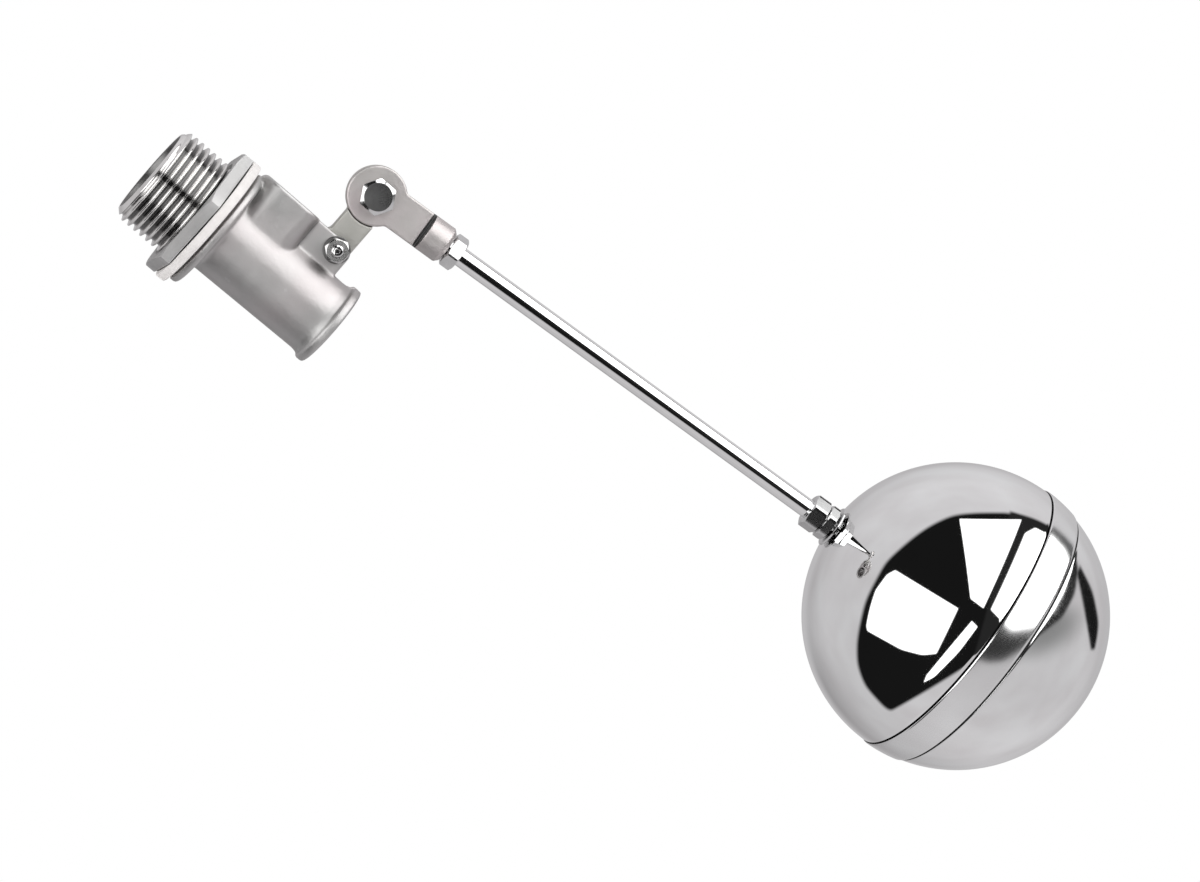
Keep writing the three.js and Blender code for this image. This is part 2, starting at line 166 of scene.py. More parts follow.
def outward(verts, faces):
    """The same shell with its faces turned outwards."""
    a, b, c, d = (verts[faces[:, i]] for i in range(4))
    volume = (np.einsum("ij,ij->i", a, np.cross(b, c)) + np.einsum("ij,ij->i", a, np.cross(c, d))).sum()
    return verts, faces if volume > 0 else faces[:, ::-1]


def lathe(profile, facets=96):
    """Solid of revolution about X from (x, radius) points; a profile clear of the axis closes on itself."""
    x, radius = np.array(profile, float).T
    theta = np.linspace(0, 2 * math.pi, facets, endpoint=False)
    return skin(np.tile(x, (facets, 1)), np.tile(radius, (facets, 1)), theta)


def arc(centre_x, centre_r, radius, start, end, steps):
    """Profile points on an arc; angles in degrees from the +radius direction towards +X."""
    angles = np.radians(np.linspace(start, end, steps + 1))
    return [(centre_x + radius * math.sin(a), centre_r + radius * math.cos(a)) for a in angles]


def bar_profile(lo, hi, bore, reach, along, across, inner=0.0):
    """Bar, disc or ring; its outer edges are broken by along and across, the edges of its bore by inner."""
    start, end = [(lo, bore)], [(hi, bore)]
    if inner:
        start, end = [(lo + inner, bore), (lo, bore + inner)], [(hi, bore + inner), (hi - inner, bore)]
    rim = [(lo, reach - across), (lo + along, reach), (hi - along, reach), (hi, reach - across)]
    return [*start, *rim, *end]


HEX_FACETS, HEX_CORNER = 72, 0.988  # the corners reach this share of a sharp hexagon's
CHAMFER_SLOPE, SQUARE_EDGE = math.tan(math.radians(30)), 0.12


def hexagon(flats, lo, hi, bore, turn, rim=0.95, bevel=0.3, square_back=False):
    """Hexagonal nut or head along X with 30 degree chamfers; square_back leaves a fine edge at the high end.

    rim is the radius of the chamfer's end circle, as a share of half the flats. A bore of 0 is a solid."""
    theta = turn + np.linspace(0, 2 * math.pi, HEX_FACETS, endpoint=False)
    swing = (theta - turn) % (math.pi / 3) - math.pi / 6
    radius = np.minimum(flats / 2 / np.cos(swing), flats / math.sqrt(3) * HEX_CORNER)
    end = np.minimum(flats / 2 * rim, radius - 0.02)
    depth = (radius - end) * CHAMFER_SLOPE
    fill = np.ones_like(theta)
    back_depth, back_end = (SQUARE_EDGE, radius - SQUARE_EDGE) if square_back else (depth, end)
    x = [lo + bevel, lo, lo, lo + depth, hi - back_depth, hi, hi, hi - bevel]
    r = [bore, bore + bevel, end, radius, radius, back_end, bore + bevel, bore]
    if bore == 0:
        x, r = [lo, *x[2:6], hi], [0, *r[2:6], 0]
    return skin(np.stack([v * fill for v in x], 1), np.stack([v * fill for v in r], 1), theta)


# ------------------------------------------------------------------ signed distance fields
BODY_STEP, ARM_STEP = 0.42, 0.3  # grid steps of the castings


def lattice(low, high, step):
    """Coordinates of a grid's points, as three arrays that broadcast together."""
    return np.meshgrid(*(np.arange(a, b + step, step, dtype=np.float32) for a, b in zip(low, high)),
                       indexing="ij", sparse=True)


def rounded(a, b, edge):
    """Where both distances are negative, with the edge between them rounded."""
    outside = np.hypot(np.maximum(a + edge, 0), np.maximum(b + edge, 0))
    return np.minimum(np.maximum(a, b) + edge, 0) + outside - edge


def blend(a, b, width):
    """Union with a fillet."""
    h = np.maximum(width - np.abs(a - b), 0) / width
    return np.minimum(a, b) - h * h * width / 4


def cut(a, b, width=0.3):
    """a without b, with a broken edge."""
    return -blend(-a, b, width)


def both(*fields):
    """Where every field is negative."""
    made = fields[0]
    for field in fields[1:]:
        made = np.maximum(made, field)
    return made


def between(v, low, high):
    """Distance to a slab, negative from low to high."""
    return np.abs(v - (low + high) / 2) - (high - low) / 2


def surface(field, low, step):
    """The shell where a field on a grid is zero."""
    grid = openvdb.FloatGrid()
    grid.copyFromArray(np.ascontiguousarray(field, dtype=np.float32))
    verts, quads = grid.convertToQuads(0.0)
    return outward(verts.astype(float) * step + np.array(low), quads.astype(int))


# ------------------------------------------------------------------ valve body casting, as in the CAD part
BARREL_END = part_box("valve_body")[1].x / MM
BARREL_R, END_R, TAPER_END, FLARE_START, FLARE_LENGTH = 13.25, 12.55, 41.5, 41.2, 2.9
BEAD_R, BEAD_START = 13.9, 43.9
FLANGE_R, FLANGE_END, REBATE_R, REBATE_DEPTH = 20.4, 2.9, 18.4, 0.55
BOSS_X, BOSS_TOP = boss_x / MM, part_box("valve_body")[1].z / MM
BOSS_START, BOSS_REACH, BOSS_HALF, BOSS_CORNER = 3.2, 8.5, 10.6, 5.0
WEB_START, WEB_HALF = 1.65, 6.2
EAR_HALF, EAR_SLOT, EAR_TOP, EAR_END, EAR_FLOOR, EAR_CORNER = 5.1, 2.8, 21.8, 36.9, 11.2, 3.6
INLET_R, BORE_R, SEAT_HOLE_R, BOSS_BORE_R, PIVOT_HOLE_R = 13.6, 9.9, 6, 6.6, 2.25
PARTITION_LOW, PARTITION_HIGH, INLET_END, CHAMBER, OUTLET_START = -2, 0.8, 20.5, (6.5, 23.2), 22.7
SEAT_TOP = 1.8
PIVOT_X, PIVOT_Z = pivot.x / MM, pivot.z / MM


def flange_and_barrel(x, axial):
    """Flange with a shallow rebate round its sealing face, and the tapered barrel with a beaded outlet."""
    flare = np.clip((x - FLARE_START) / FLARE_LENGTH, 0, 1) ** 2 * 0.6
    barrel_r = np.interp(x, [0, TAPER_END], [BARREL_R, END_R]).astype(np.float32) + flare
    barrel = both(axial - barrel_r, between(x, 0.2, BARREL_END - 0.6))
    flange = both(rounded(axial - FLANGE_R, between(x, -3, FLANGE_END), 1.2), -x)
    flange = cut(flange, both(x - REBATE_DEPTH, REBATE_R - axial), 0.15)
    bead = rounded(axial - BEAD_R, between(x, BEAD_START, BARREL_END), 0.95)
    return blend(blend(flange, barrel, 1.8), bead, 0.2)


def boss_shape(x, y, z):
    """Boss over the plunger, a rounded rectangle in plan, with the web that joins it to the flange."""
    along, across = between(x, BOSS_START, BOSS_X + BOSS_REACH), between(y, -BOSS_HALF, BOSS_HALF)
    plan = rounded(along, across, BOSS_CORNER)
    web = rounded(between(x, WEB_START, BOSS_X), between(y, -WEB_HALF, WEB_HALF), 1.6)
    top = rounded(WEB_START - x, z - BOSS_TOP, 2.4)
    return both(rounded(blend(plan, web, 2.4), top, 0.6), -z)


def ear_pair(x, y, z):
    """The block that the slot splits into two ears."""
    side = both(rounded(x - EAR_END, z - EAR_TOP, EAR_CORNER), BOSS_X - x, 8 - z)
    return rounded(side, between(y, -EAR_HALF, EAR_HALF), 0.4)


def hollows(x, y, z, axial):
    """Room for the thread's tube, inlet way, chamber, outlet, seat hole, plunger bore, pivot hole and slot."""
    about_boss = np.hypot(x - BOSS_X, y)
    mouth = axial - BORE_R - np.maximum(x - BARREL_END + 0.7, 0)
    return [
        both(axial - INLET_R, x - 1),
        both(axial - BORE_R, z - PARTITION_LOW, x - INLET_END),
        both(axial - BORE_R, PARTITION_HIGH - z, between(x, *CHAMBER)),
        both(mouth, OUTLET_START - x),
        both(about_boss - SEAT_HOLE_R, between(z, PARTITION_LOW - 1, SEAT_TOP)),
        both(about_boss - BOSS_BORE_R, SEAT_TOP - z),
        np.hypot(x - PIVOT_X, z - PIVOT_Z) - PIVOT_HOLE_R,
        both(rounded(between(y, -EAR_SLOT, EAR_SLOT), EAR_FLOOR - z, 0.9), BOSS_X - x),
    ]


def valve_body():
    low = (-0.9, -21.6, -21.6)
    x, y, z = lattice(low, (BARREL_END + 1, 21.6, BOSS_TOP + 1), BODY_STEP)
    axial = np.hypot(y, z)
    body = blend(flange_and_barrel(x, axial), boss_shape(x, y, z), 0.9)
    body = both(blend(body, ear_pair(x, y, z), 0.8), z - BOSS_TOP)
    for hollow in hollows(x, y, z, axial):
        body = cut(body, hollow, 0.35)
    return surface(body, low, BODY_STEP)


gasket = Turned("wall_gasket", VALVE)
THREAD_R, THREAD_ROOT, THREAD_PITCH = gasket.bore - 0.3, gasket.bore - 1.78, 2.309
THREAD_START, THREAD_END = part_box("valve_body")[0].x / MM, 0.7
THREAD_BORE, THREAD_LIP = 13.4, 0.35


def inlet_thread():
    """Right-handed pipe thread with rounded crests and roots, on a thin tube."""
    per_turn, columns, soft = 18, 144, 0.16
    turns = (THREAD_END - THREAD_START) / THREAD_PITCH
    row_x = THREAD_START - THREAD_PITCH + THREAD_PITCH * np.arange(int((turns + 2) * per_turn)) / per_turn
    theta = np.linspace(0, 2 * math.pi, columns + 1)
    lead = theta[:, None] / (2 * math.pi) * THREAD_PITCH
    x = np.clip(row_x[None, :] + lead, THREAD_START, THREAD_END)
    wave = np.abs(2 * (((x - lead) / THREAD_PITCH) % 1) - 1)
    flank = (wave - 0.22) / 0.56
    flank = -blend(-flank, np.zeros_like(flank), soft)
    flank = blend(flank, np.ones_like(flank), soft)
    radius = THREAD_ROOT + (THREAD_R - THREAD_ROOT) * flank
    radius = blend(radius, THREAD_ROOT - 0.75 + (x - THREAD_START), 0.25)
    fill = np.ones((columns + 1, 1))
    bore_x = [THREAD_END, THREAD_START + THREAD_LIP, THREAD_START]
    bore_r = [THREAD_BORE, THREAD_BORE, THREAD_BORE + THREAD_LIP]
    return skin(np.hstack([fill * bore_x, x]), np.hstack([fill * bore_r, radius]), theta, closed=False)


# ------------------------------------------------------------------ lever and float arm castings
LEVER_HALF = 2.5
EYE_R, EYE_HOLE, LAP, EYE_CLEAR, EYE_OVERLAP = 9.2, 3.25, 0.15, 9.45, 3
BAR_EDGE = 0.45
LEVER_LEFT, LEVER_RIGHT, KNUCKLE_R = -5.2, 4.3, 4.6
TAIL_START, TAIL_END, TAIL_R = 6, 19.1, 2.8
SLOT_START, SLOT_END, SLOT_R = 17.75, 19.3, 1.85
SOCKET_START, SOCKET_R, SOCKET_BORE, SOCKET_CHAMFER = 18.0, 5.95, 3.3, 1.2
ARM_HALF = 5.9
GROOVE_FROM, GROOVE_TO, GROOVE_FLOOR = SOCKET_START - 0.75, SOCKET_START + 0.6, 1.8


def lapped(outline, eye, front_is_eye, y, distance_to_eye):
    """A bar and its half of the elbow's lap joint; outline is the bar seen from the side."""
    near, far = (-LEVER_HALF, -LAP) if front_is_eye else (LAP, LEVER_HALF)
    whole = rounded(outline, np.abs(y) - LEVER_HALF, BAR_EDGE)
    other_half = LAP + y if front_is_eye else LAP - y
    bar = cut(whole, both(distance_to_eye - EYE_CLEAR, -other_half), 0.2)
    disc = rounded(blend(eye, outline, 0.6), between(y, near, far), BAR_EDGE)
    reach = both(disc, distance_to_eye - EYE_CLEAR - EYE_OVERLAP)
    return cut(np.minimum(bar, reach), distance_to_eye - EYE_HOLE, 0.3)


def crank_lever():
    """Upright arm with the far half of the elbow, knuckle round the pivot, and slotted tail."""
    low = (-22.3, -3, -6)
    x, y, z = lattice(low, (14, 3, 31), ARM_STEP)
    eye_x, eye_z = (elbow.x - pivot.x) / MM, (elbow.z - pivot.z) / MM
    arm = rounded(between(x, LEVER_LEFT, LEVER_RIGHT), between(z, 0, eye_z), 0.4)
    from_pivot = np.hypot(x, z)
    tail = np.hypot(x + np.clip(-x, TAIL_START, TAIL_END), z) - TAIL_R
    outline = blend(np.minimum(arm, from_pivot - KNUCKLE_R), tail, 2.5)
    slot = np.hypot(x + np.clip(-x, SLOT_START, SLOT_END), z) - SLOT_R
    to_eye = np.hypot(x - eye_x, z - eye_z)
    lever = lapped(outline, to_eye - EYE_R, False, y, to_eye)
    return surface(cut(cut(lever, slot, 0.25), from_pivot - PIVOT_HOLE_R, 0.25), low, ARM_STEP)


def socket_arm():
    """Bar with the near half of the elbow, a groove across it, and the round socket for the rod."""
    end = Turned("socket_arm", ARM).hi
    low = (-10.3, -7, -10.3)
    x, y, z = lattice(low, (end + 1, 7, 10.3), ARM_STEP)
    axial, to_eye = np.hypot(y, z), np.hypot(x, z)
    outline = rounded(between(x, 0, SOCKET_START + 1), np.abs(z) - ARM_HALF, 0.4)
    arm = lapped(outline, to_eye - EYE_R, True, y, to_eye)
    socket = rounded(axial - SOCKET_R, between(x, SOCKET_START, end), 0.45)
    socket = both(socket, (axial - SOCKET_R + x - end + SOCKET_CHAMFER) * 0.7071)
    arm = cut(arm, both(between(x, GROOVE_FROM, GROOVE_TO), GROOVE_FLOOR - np.abs(y)), 0.15)
    arm = cut(np.minimum(arm, socket), both(axial - SOCKET_BORE, SOCKET_START + 0.8 - x), 0.3)
    return surface(arm, low, ARM_STEP)


# ------------------------------------------------------------------ materials
class Graph:
    """Adds nodes to a tree; inputs are numbers, colours or other nodes' sockets."""

    def __init__(self, tree):
        tree.nodes.clear()
        self.tree = tree

    def add(self, kind, inputs=(), **settings):
        made = self.tree.nodes.new(kind)
        for key, value in settings.items():
            setattr(made, key, value)
        for key, value in dict(inputs).items():
            self.put(made.inputs[key], value)
        return made

    def put(self, socket, value):
        """Links a socket, or gives it a value."""
        if isinstance(value, bpy.types.NodeSocket):
            self.tree.links.new(value, socket)
        else:
            socket.default_value = value

    def math(self, operation, *values):
        return self.add("ShaderNodeMath", enumerate(values), operation=operation).outputs[0]

    def vector(self, operation, *values):
        made = self.add("ShaderNodeVectorMath", enumerate(values), operation=operation)
        return made.outputs["Value" if operation in ("DOT_PRODUCT", "LENGTH") else "Vector"]

    def ranged(self, value, low, high, to_low, to_high, smooth=False):
        inputs = {"Value": value, "From Min": low, "From Max": high, "To Min": to_low, "To Max": to_high}
        kind = "SMOOTHSTEP" if smooth else "LINEAR"
        return self.add("ShaderNodeMapRange", inputs, interpolation_type=kind).outputs["Result"]

    def noise(self, coords, scale, detail=3.0, roughness=0.55):
        inputs = {"Vector": coords, "Scale": scale, "Detail": detail, "Roughness": roughness}
        return self.add("ShaderNodeTexNoise", inputs).outputs["Fac"]

    def bump(self, height, depth, beneath=None):
        inputs = {"Height": height, "Distance": depth, "Strength": 1.0}
        if beneath:
            inputs["Normal"] = beneath
        return self.add("ShaderNodeBump", inputs).outputs["Normal"]

    def mix(self, factor, a, b):
        made = self.add("ShaderNodeMix", data_type="RGBA")
        for index, value in ((0, factor), (6, a), (7, b)):
            self.put(made.inputs[index], value)
        return made.outputs[2]

    def end(self, kind, shader):
        """Ends the graph in an output node of a kind."""
        self.tree.links.new(shader.outputs[0], self.add(kind).inputs["Surface"])


def grey(value, warm=0.0):
    return (value * (1 + warm), value, value * (1 - warm), 1)


# Lighter edges are wear; the two near black tones are painted shade, in inner corners and in thread roots.
WORN_EDGE, CREASE_PAINTED_SHADE, ROOT_SHADOW = grey(0.85), grey(0.05), grey(0.07)


def crown_of(g, coords, crest):
    """1 on a thread's crests and on its first turn, 0 in its roots; crest holds the two radii."""
    from_axis = g.vector("LENGTH", g.vector("MULTIPLY", coords, (0, 1, 1)))
    along = g.add("ShaderNodeSeparateXYZ", {0: coords}).outputs["X"]
    lead_in = g.ranged(along, (THREAD_START + 1.6) * MM, (THREAD_START + 2.6) * MM, 1.0, 0.0)
    return g.math("MAXIMUM", lead_in, g.ranged(from_axis, crest[0] * MM, crest[1] * MM, 0.0, 1.0))


def finish(name, dark, light, rough, metallic=1.0, blotch=90.0, tint=None, grain=2600.0, grain_depth=1e-5,
           peel=None, peel_depth=2e-5, stretch=(1, 1, 1), wear=0.0, crease_shade=0.0, specular=None, crest=None):
    """A procedural surface: two tones in soft blotches, uneven roughness, and fine relief.

    Tones are colours and rough is a mean and a spread. blotch, grain and peel are noise scales per metre, and
    the depths are metres. wear lightens the edges, and painted shade darkens the inner corners, by these
    shares."""
    material = bpy.data.materials.new(name)
    material.use_nodes = True
    g = Graph(material.node_tree)
    coords = g.add("ShaderNodeTexCoord").outputs["Object"]
    drawn = g.add("ShaderNodeMapping", {"Vector": coords, "Scale": stretch}).outputs["Vector"]
    cloud = g.noise(coords, blotch, 4.0, 0.6)
    fine = g.noise(drawn, grain, 2.0, 0.5)
    colour = g.mix(g.ranged(cloud, 0.32, 0.68, 0.0, 1.0), dark, light)
    if tint:
        patch = g.noise(coords, blotch * 0.45, 2.0, 0.5)
        colour = g.mix(g.ranged(patch, 0.45, 0.7, 0.0, 1.0), colour, tint)
    if wear or crease_shade:
        edge = g.add("ShaderNodeNewGeometry").outputs["Pointiness"]
        colour = g.mix(g.ranged(edge, 0.51, 0.6, 0.0, wear), colour, WORN_EDGE)
        # Painted shade: concave corners are darkened towards near black.
        colour = g.mix(g.ranged(edge, 0.42, 0.49, crease_shade, 0.0), colour, CREASE_PAINTED_SHADE)
    if crest:
        colour = g.mix(crown_of(g, coords, crest), ROOT_SHADOW, colour)
    speck = g.ranged(fine, 0.3, 0.7, -0.5, 0.5)
    soft = g.math("ADD", g.math("MULTIPLY", speck, 0.5), g.ranged(cloud, 0.3, 0.7, -0.5, 0.5))
    roughness = g.math("ADD", g.math("MULTIPLY", soft, rough[1]), rough[0])
    relief = g.bump(fine, grain_depth)
    if peel:
        relief = g.bump(g.noise(coords, peel, 1.0, 0.4), peel_depth, relief)
    inputs = {"Base Color": colour, "Roughness": roughness, "Normal": relief, "Metallic": metallic}
    if specular is not None:
        inputs["Specular IOR Level"] = specular
    g.end("ShaderNodeOutputMaterial", g.add("ShaderNodeBsdfPrincipled", inputs))
    return material


# castings
cast_body = finish(
    "cast_steel_body", grey(0.47, 0.010), grey(0.57, 0.012), (0.48, 0.10), tint=(0.55, 0.52, 0.52, 1),
    grain=3200, grain_depth=2e-5, peel=520, peel_depth=7e-5, wear=0.2, crease_shade=0.85)
cast_lever = finish(
    "cast_steel_lever", (0.52, 0.515, 0.48, 1), (0.60, 0.59, 0.56, 1), (0.48, 0.10),
    grain=3200, grain_depth=1.8e-5, peel=600, peel_depth=6e-5, crease_shade=0.7)
cast_arm = finish(
    "cast_steel_arm", (0.53, 0.51, 0.495, 1), (0.62, 0.595, 0.585, 1), (0.48, 0.10),
    tint=(0.62, 0.56, 0.565, 1), grain=3200, grain_depth=1.8e-5, peel=600, peel_depth=6e-5, crease_shade=0.9)
# Painted shade: the groove across the socket arm is coloured near black.
groove_shade_paint = finish("groove_painted_shade", grey(0.07), grey(0.12), (0.6, 0.1), grain=3200, grain_depth=1e-5)
locknut_steel = finish(
    "cast_locknut", grey(0.30, 0.012), grey(0.43, 0.015), (0.60, 0.12), blotch=220,
    grain=2400, grain_depth=2e-5, peel=480, peel_depth=4e-5, wear=0.5)

# turned and drawn steel
AROUND, ALONG = (6, 0.25, 0.25), (0.03, 1, 1)  # stretch of the grain about and along the local X axis
thread_steel = finish(
    "machined_thread", grey(0.80, 0.012), grey(0.90, 0.014), (0.13, 0.04), grain=1800, grain_depth=1e-6,
    stretch=AROUND, crest=(THREAD_ROOT - 0.05, THREAD_ROOT + 0.6))
# Painted shade: the bore inside the thread is coloured dark grey.
bore_painted_shade = finish(
    "inlet_bore_painted_shade", grey(0.13, 0.01), grey(0.22, 0.012), (0.36, 0.12), grain=1500, grain_depth=2e-5,
    stretch=AROUND)
nut_steel = finish(
    "turned_nut", grey(0.64), grey(0.74), (0.10, 0.02), blotch=300, grain=900, grain_depth=1e-7)
nut_polished = finish(
    "polished_nut", grey(0.70), grey(0.80), (0.15, 0.03), blotch=300, grain=900, grain_depth=1e-7)
nut_satin = finish(
    "satin_nut", grey(0.50, 0.01), grey(0.60, 0.01), (0.22, 0.05), blotch=300, grain=900, grain_depth=2e-7)
# Painted shade: the pivot's washers are coloured near black, for the dark outline round the nut.
washer_painted_shade = finish(
    "pivot_washer_painted_shade", grey(0.14, 0.01), grey(0.20, 0.01), (0.42, 0.08), grain=1500, grain_depth=4e-6)
bolt_face = finish("bolt_face", grey(0.12), grey(0.20), (0.30, 0.10), grain=1800, grain_depth=6e-6)
rod_chrome = finish(
    "drawn_rod", grey(0.86), grey(0.93), (0.05, 0.012), grain=1200, grain_depth=1e-7, stretch=ALONG)

# ball
ball_mirror = finish(
    "ball_mirror", grey(0.90), grey(0.945), (0.03, 0.02), blotch=30, grain=900, grain_depth=3e-7,
    peel=28, peel_depth=4e-5)
ball_band = finish(
    "ball_band", grey(0.83), grey(0.90), (0.16, 0.04), blotch=30, grain=900, grain_depth=4e-7,
    stretch=(4, 0.4, 0.4))
ball_cap = finish(
    "ball_far_cap", grey(0.87), grey(0.93), (0.08, 0.05), blotch=30, grain=900, grain_depth=4e-7,
    peel=28, peel_depth=8e-5)
seam_dark = finish("seam_shadow", grey(0.02), grey(0.05), (0.5, 0.1), grain=1500, grain_depth=2e-6)

# rubber
gasket_rubber = finish(
    "gasket_rubber", (0.74, 0.715, 0.70, 1), (0.84, 0.815, 0.80, 1), (0.72, 0.14), metallic=0.0, blotch=350,
    grain=2600, grain_depth=5e-5, specular=0.3)
seal_rubber = finish(
    "seal_rubber", grey(0.02), grey(0.035), (0.6, 0.15), metallic=0.0, blotch=300,
    grain=2500, grain_depth=2e-5, specular=0.3)

# ------------------------------------------------------------------ valve
piece("valve_casting", "valve", ["valve_body"], VALVE, [valve_body()], [cast_body], sharp=None)
# The faces inside the bore get the painted shade.
piece("inlet_thread", "valve", ["valve_body"], VALVE, [inlet_thread()],
      [thread_steel, bore_painted_shade], sharp=50,
      pick=lambda centre: int(math.hypot(centre.y, centre.z) < THREAD_ROOT - 1.2))

GASKET_ROUND, GASKET_INNER = 0.5, 0.4
gasket_profile = [
    (gasket.lo + GASKET_INNER, gasket.bore),
    *arc(gasket.lo + GASKET_ROUND, gasket.reach - GASKET_ROUND, GASKET_ROUND, -90, 0, 5),
    *arc(gasket.hi - GASKET_ROUND, gasket.reach - GASKET_ROUND, GASKET_ROUND, 0, 90, 5),
    (gasket.hi, gasket.bore + GASKET_INNER)]
piece("gasket_ring", "valve", ["wall_gasket"], VALVE, [lathe(gasket_profile, 144)],
      [gasket_rubber], sharp=40)

locknut = Turned("wall_locknut", VALVE)
locknut_hex = hexagon(locknut.flats * 0.995, locknut.lo, locknut.hi, locknut.bore, locknut.turn,
                      rim=1.08, bevel=0.7, square_back=True)
piece("locknut_hex", "locknut", ["wall_locknut"], VALVE, [locknut_hex],
      [locknut_steel], sharp=28)

seat = Turned("seat_nozzle", BOSS)
STEM_R, SEAT_FLANGE_R, SEAT_FLANGE_START, SEAT_LIP_R = 5.7, 6.3, 1.1, 5.2
seat_profile = [
    (seat.lo, 4.9), (seat.lo, STEM_R - 0.4), (seat.lo + 0.4, STEM_R), (SEAT_FLANGE_START, STEM_R),
    (SEAT_FLANGE_START, 6.1), (SEAT_FLANGE_START + 0.2, SEAT_FLANGE_R), (1.6, SEAT_FLANGE_R), (SEAT_TOP, 6.1),
    (SEAT_TOP, 5.75), (seat.hi - 0.1, 5.35), (seat.hi, SEAT_LIP_R), (seat.hi, 4.7),
    (seat.hi - 0.25, seat.bore), (seat.lo + 0.4, seat.bore)]
piece("seat_ring", "valve", ["seat_nozzle"], BOSS, [lathe(seat_profile)], [nut_steel])

# pivot bolt with its washers and nut
PIN_R, PIN_NOSE = 1.95, 0.75
bolt = Turned("pivot_bolt", PIVOT)
head_start = Turned("pivot_washer_back", PIVOT).hi + 0.3
shank = [(bolt.lo + 0.3, 0), (bolt.lo + 0.3, 0.5), (bolt.lo, 0.8),
         *arc(bolt.lo + PIN_NOSE, PIN_R - PIN_NOSE, PIN_NOSE, -80, 0, 8),
         (head_start + 0.5, PIN_R), (head_start + 0.5, 0)]
piece("pivot_pin", "valve", ["pivot_bolt"], PIVOT,
      [hexagon(bolt.flats, head_start, bolt.hi, 0, bolt.turn), lathe(shank, 48)], [nut_steel])
for side in ("front", "back"):
    ring = Turned(f"pivot_washer_{side}", PIVOT)
    ring_profile = bar_profile(ring.lo, ring.hi, ring.bore, ring.reach, 0.2, 0.25, inner=0.12)
    piece(f"pivot_washer_disc_{side}", "valve", [f"pivot_washer_{side}"], PIVOT,
          [lathe(ring_profile, 64)], [washer_painted_shade])
nut = Turned("pivot_nut", PIVOT)
piece("pivot_locknut", "valve", ["pivot_nut"], PIVOT,
      [hexagon(nut.flats, nut.lo, nut.hi, PIN_R + 0.02, nut.turn, rim=0.93, bevel=0.2)], [nut_satin])

# ------------------------------------------------------------------ plunger
plug = Turned("plunger", BOSS)
FORK_FLOOR, DISC_RECESS_R, DISC_RECESS, SCREW_HOLE_R, SCREW_HOLE, CROSS_HOLE_R = 15.0, 5.5, 2, 1.6, 7, 1.8
fork_half = Turned("crank_lever", PIVOT).hi + 0.3


def plunger_shell():
    """Round plunger with the fork's slot above, the seal's recess and screw hole below, and the pin hole."""
    low = (-7.2, -7.2, plug.lo - 1)
    x, y, z = lattice(low, (7.2, 7.2, plug.hi + 1), ARM_STEP)
    axial = np.hypot(x, y)
    body = rounded(axial - plug.reach, between(z, plug.lo, plug.hi), 0.45)
    body = cut(body, both(np.abs(y) - fork_half, FORK_FLOOR - z), 0.3)
    body = cut(body, rounded(axial - DISC_RECESS_R, z - plug.lo - DISC_RECESS, 0.2), 0.2)
    body = cut(body, both(axial - SCREW_HOLE_R, z - plug.lo - SCREW_HOLE), 0.2)
    return surface(cut(body, np.hypot(x, z - PIVOT_Z) - CROSS_HOLE_R, 0.25), low, ARM_STEP)


piece("plunger_fork", "plunger", ["plunger"], UPRIGHT, [plunger_shell()],
      [nut_steel], sharp=None)
pin = Turned("plunger_pin", CROSS)
piece("cross_pin", "plunger", ["plunger_pin"], CROSS,
      [lathe(bar_profile(pin.lo, pin.hi, 0, pin.reach, 0.3, 0.3), 48)], [nut_steel])
disc = Turned("seal_disc", BOSS)
piece("seal_disc_rubber", "plunger", ["seal_disc"], BOSS,
      [lathe(bar_profile(disc.lo, disc.hi, disc.bore, disc.reach, 0.3, 0.3), 64)], [seal_rubber])
screw = Turned("seal_screw", BOSS)
SCREW_R, SCREW_HEAD = 1.3, 0.9
screw_profile = [
    (screw.lo + 0.35, 0), (screw.lo + 0.35, 0.8), (screw.lo, 0.9), (screw.lo, screw.reach - 0.5),
    (screw.lo + 0.4, screw.reach), (screw.lo + SCREW_HEAD, screw.reach), (screw.lo + SCREW_HEAD, SCREW_R),
    (screw.hi - 0.3, SCREW_R), (screw.hi, SCREW_R - 0.3), (screw.hi, 0)]
piece("seal_screw_head", "plunger", ["seal_screw"], BOSS,
      [lathe(screw_profile, 48)], [nut_steel])

# ------------------------------------------------------------------ lever and elbow
piece("crank_casting", "lever", ["crank_lever"], LEVER, [crank_lever()],
      [cast_lever], sharp=None)

clamp_bolt = Turned("elbow_bolt", ELBOW)
washer = Turned("elbow_washer", ELBOW)
clamp_nut = Turned("elbow_nut", ELBOW)
clamp_r = washer.bore - 0.3
clamp_head = hexagon(clamp_bolt.flats, clamp_bolt.lo, -LEVER_HALF - 0.3, 0, clamp_bolt.turn, rim=0.86)
clamp_shank = [(-LEVER_HALF - 0.6, 0), (-LEVER_HALF - 0.6, clamp_r), (clamp_bolt.hi - 0.6, clamp_r),
               (clamp_bolt.hi, clamp_r - 0.6), (clamp_bolt.hi, 0)]
piece("elbow_clamp_bolt", "lever", ["elbow_bolt"], ELBOW,
      [clamp_head, lathe(clamp_shank, 64)], [nut_polished, bolt_face],
      pick=lambda centre: int(centre.x < clamp_bolt.lo + 0.1))
washer_profile = bar_profile(washer.lo, washer.hi, washer.bore, washer.reach, 0.25, 0.3, inner=0.15)
piece("elbow_washer_disc", "lever", ["elbow_washer"], ELBOW,
      [lathe(washer_profile)], [nut_steel])
piece("elbow_clamp_nut", "lever", ["elbow_nut"], ELBOW,
      [hexagon(clamp_nut.flats, clamp_nut.lo, clamp_nut.hi, clamp_r + 0.02, clamp_nut.turn)], [nut_steel])


# ------------------------------------------------------------------ arm, rod and its nuts
def arm_groove_shade(centre):
    """Painted shade on the floor and the socket side of the groove, plain casting elsewhere."""
    in_groove = GROOVE_FROM - 0.05 < centre.x < SOCKET_START + 0.3
    return int(in_groove and (abs(centre.y) < GROOVE_FLOOR + 0.5 or centre.x > SOCKET_START - 0.05))


